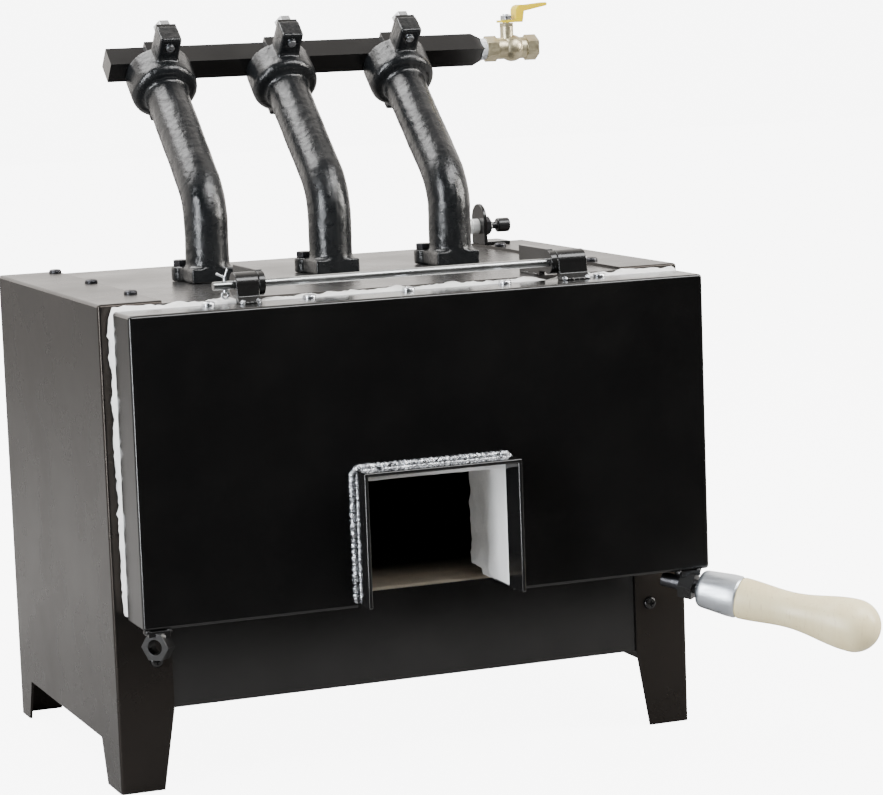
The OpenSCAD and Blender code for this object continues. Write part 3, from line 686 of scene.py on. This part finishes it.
# ---------------------------------------------------------------- sealing tape

def tape_roll():
    """Turns of white sealing tape bunched up between the manifold bar and the valve."""
    low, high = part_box("inlet_nipple")
    axis = (low + high) / 2
    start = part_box("manifold_bar")[1].x - 1.5 * MM
    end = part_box("valve_body")[0].x + 0.8 * MM
    steps, radius = 24, 8.6 * MM
    points = [Vector((start + (end - start) * i / steps, axis.y, axis.z)) for i in range(steps + 1)]

    def turns(i):
        taper = min(1.0, 0.72 + 0.12 * min(i, steps - i))
        return radius * taper * (1 + 0.05 * math.sin(i * 2.1) + 0.04 * noise.noise(Vector((i * 0.7, 0, 0))))

    bm = bmesh.new()
    tube(bm, points, turns, 48)
    return made("tape_roll", bm, TAPE, "forge_body")


tape_roll()


# ---------------------------------------------------------------- studio

FLOOR_GLOW, SKY_GLOW = 7.5, 9.5   # brightness of floor and backdrop for the camera, which sees near white


def pale_floor():
    """A pale floor, ending a little in front of the forge. Its glow is for the camera and lights nothing."""
    near, far, side, level = -0.5, 9, 7, -0.5 * MM
    mesh = bpy.data.meshes.new("floor")
    mesh.from_pydata([(-side, near, level), (side, near, level), (side, far, level), (-side, far, level)], [],
                     [(0, 1, 2, 3)])
    floor = bpy.data.objects.new("floor", mesh)
    bpy.context.scene.collection.objects.link(floor)
    s = Shader("pale_floor", Base_Color=(0.3, 0.295, 0.29, 1), Roughness=0.9, Emission_Color=(1, 1, 1, 1))
    seen = s.add("ShaderNodeLightPath").outputs["Is Camera Ray"]
    s.set("Emission Strength", s.math("MULTIPLY", seen, FLOOR_GLOW))
    mesh.materials.append(s.material)


def sky():
    """A sky that is bright behind the forge and dim in front of it, with an even backdrop for the camera."""
    world = bpy.data.worlds.new("studio")
    bpy.context.scene.world = world
    world.use_nodes = True
    tree = world.node_tree
    tree.nodes.clear()
    direction = add_node(tree, "ShaderNodeTexCoord").outputs["Generated"]
    rearward = add_node(tree, "ShaderNodeSeparateXYZ", {0: direction}).outputs["Y"]
    level = add_node(tree, "ShaderNodeMapRange", {"Value": rearward, "From Min": -0.3, "From Max": 0.6,
                                                  "To Min": 0.012, "To Max": 1.9},
                     interpolation_type="SMOOTHSTEP").outputs["Result"]
    lit = add_node(tree, "ShaderNodeBackground", {"Color": (1, 0.95, 0.9, 1), "Strength": level})
    backdrop = add_node(tree, "ShaderNodeBackground", {"Strength": SKY_GLOW})
    seen = add_node(tree, "ShaderNodeLightPath").outputs["Is Camera Ray"]
    pick = add_node(tree, "ShaderNodeMixShader", {0: seen, 1: lit.outputs[0], 2: backdrop.outputs[0]})
    add_node(tree, "ShaderNodeOutputWorld", {0: pick.outputs[0]})


def softbox(name, place, target, width, height, power, colour=(1, 1, 1)):
    data = bpy.data.lights.new(name, "AREA")
    data.shape = "RECTANGLE"
    data.size = width
    data.size_y = height
    data.energy = power
    data.color = colour
    lamp = bpy.data.objects.new(name, data)
    bpy.context.scene.collection.objects.link(lamp)
    lamp.location = place
    lamp.rotation_euler = (Vector(target) - Vector(place)).to_track_quat("-Z", "Y").to_euler()


def camera():
    """The photograph's viewpoint, measured from the body's front left corner on the floor."""
    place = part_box("left_side_panel")[0] + Vector((-0.5671, -2.1105, 0.5709))
    yaw, pitch, roll = math.radians(-21.44), math.radians(-7.515), math.radians(-2.088)
    ahead = Vector((-math.sin(yaw) * math.cos(pitch), math.cos(yaw) * math.cos(pitch), math.sin(pitch)))
    level = Vector((math.cos(yaw), math.sin(yaw), 0))
    above = level.cross(ahead)
    side = level * math.cos(roll) + above * math.sin(roll)
    up = above * math.cos(roll) - level * math.sin(roll)
    data = bpy.data.cameras.new("camera")
    data.sensor_width = 36
    data.lens = 124.38
    eye = bpy.data.objects.new("camera", data)
    bpy.context.scene.collection.objects.link(eye)
    eye.matrix_world = Matrix.Translation(place) @ Matrix((side, up, -ahead)).transposed().to_4x4()
    bpy.context.scene.camera = eye


pale_floor()
sky()
softbox("key_softbox", (-2.2, -1.1, 0.6), (0, 0, 0.6), 0.35, 2.3, 110, (0.93, 0.96, 1))
softbox("edge_softbox", (0.8, -1.1, 2.0), (0, 0, 0.3), 1.8, 0.7, 60)
softbox("top_softbox", (-0.9, 0.9, 2.2), (0, 0.2, 0.2), 1.6, 1.4, 75)
softbox("fill_softbox", (2.3, -1.0, 1.2), (0, 0, 0.25), 0.4, 1.4, 78, (1, 0.97, 0.92))
camera()
